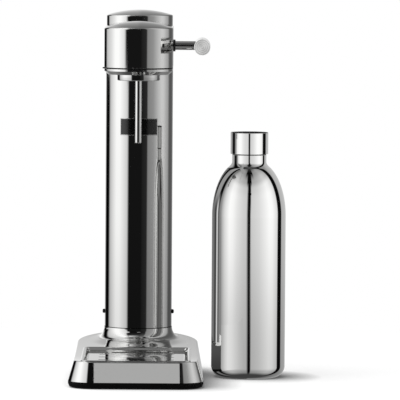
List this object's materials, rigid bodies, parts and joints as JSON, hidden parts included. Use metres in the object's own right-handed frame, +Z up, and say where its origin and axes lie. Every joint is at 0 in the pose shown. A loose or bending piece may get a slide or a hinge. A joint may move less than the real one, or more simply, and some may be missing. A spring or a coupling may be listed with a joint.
{
  "type": "sparkling water maker",
  "caption": "hand-operated sparkling water maker with a round column, a side lever, a nozzle over a drip tray, and its own screw-capped bottle",
  "frame": {"origin": "on the table, under the axis of the nozzle", "axes": "front of the machine faces -Y, its right seen from the front is +X, up is +Z"},
  "size_m": [0.2422, 0.258, 0.4144],
  "materials": {
    "polished_steel": "mirror polished stainless steel",
    "brushed_steel": "fine turned stainless steel",
    "plain_steel": "plain steel, inside the machine",
    "black_rubber": "matte moulded rubber",
    "silicone": "soft seal",
    "black_plate": "glossy black with a thin pale border",
    "black_plastic": "fine matte",
    "bearing_plastic": "plain bearing plastic",
    "brass": "machined",
    "cylinder_paint": "drawn and brushed",
    "copper_pipe": "drawn pipe"
  },
  "bodies": {
    "machine": {"base_foot": "black_rubber", "base_chassis": "plain_steel", "base_housing": "polished_steel", "base_screws": "plain_steel", "collar_gasket": "silicone", "column_foot": "plain_steel", "column_tube": "polished_steel", "column_spine": "plain_steel", "side_studs": "black_plastic", "badge_plate": "black_plate", "cylinder_guide_lower": "black_plastic", "cylinder_guide_upper": "black_plastic", "head_frame": "plain_steel", "under_cover": "polished_steel", "seam_gasket": "silicone", "head_shell": "polished_steel", "upper_cap": "polished_steel", "frame_screws": "plain_steel", "bottle_socket": "polished_steel", "socket_seal": "silicone", "nozzle_block": "plain_steel", "nozzle_tube": "polished_steel", "nozzle_tip": "brushed_steel", "safety_valve": "brass", "release_valve": "plain_steel", "gas_pipe": "copper_pipe", "pipe_nuts": "brass", "valve_block": "brass", "valve_seal": "silicone", "shaft_bearing_left": "bearing_plastic", "shaft_bearing_right": "bearing_plastic", "lever_bush": "black_plastic", "rocker_pin": "plain_steel"},
    "lever": {"lever_shaft": "polished_steel", "lever_cam": "plain_steel", "shaft_clip": "plain_steel", "lever_handle": "polished_steel", "handle_disc": "brushed_steel"},
    "rocker": {"rocker_arm": "plain_steel"},
    "plunger": {"valve_plunger": "plain_steel", "return_spring": "plain_steel"},
    "tray": {"drip_tray": "polished_steel"},
    "gas": {"gas_cylinder": "cylinder_paint", "cylinder_valve": "brass"},
    "bottle": {"bottle_shell": "polished_steel", "bottle_base": "brushed_steel", "bottle_neck": "polished_steel"},
    "liner": {"cap_liner": "silicone"},
    "cap": {"bottle_cap": "polished_steel"}
  },
  "joints": [
    {"name": "lever_turn", "type": "hinge", "parent": "machine", "child": "lever", "pos_m": [0, 0.022, 0.3755], "axis": [1, 0, 0], "range_deg": [0, 60], "stiffness_Nm_per_rad": 0.3, "springref_deg": -28.65},
    {"name": "rocker_tilt", "type": "hinge", "parent": "machine", "child": "rocker", "pos_m": [0, 0.054, 0.3866], "axis": [1, 0, 0], "range_deg": [-5.2, 0]},
    {"name": "plunger_press", "type": "slide", "parent": "machine", "child": "plunger", "axis": [0, 0, -1], "range_m": [0, 0.0029], "deforming": ["return_spring"]},
    {"name": "tray_lift", "type": "slide", "parent": "machine", "child": "tray", "axis": [0, -0.0304, 0.9995], "range_m": [0, 0.04]},
    {"name": "gas_turn", "type": "hinge", "parent": "machine", "child": "gas", "pos_m": [0, 0.086, 0.1], "axis": [0, 0, 1], "range_deg": [-1080, 0]},
    {"name": "bottle_lift", "type": "slide", "parent": "machine", "child": "bottle", "axis": [0, 0, 1], "range_m": [0, 0.15]},
    {"name": "cap_lift", "type": "slide", "parent": "bottle", "child": "liner", "axis": [0, 0, 1], "range_m": [0, 0.03]},
    {"name": "cap_turn", "type": "hinge", "parent": "liner", "child": "cap", "pos_m": [0.1255, 0.028, 0.265], "axis": [0, 0, 1], "continuous": true}
  ],
  "couplings": [
    {"joint": "rocker_tilt", "follows": "lever_turn", "ratio": -0.0811},
    {"joint": "plunger_press", "follows": "lever_turn", "m_per_rad": 0.0026}
  ]
}
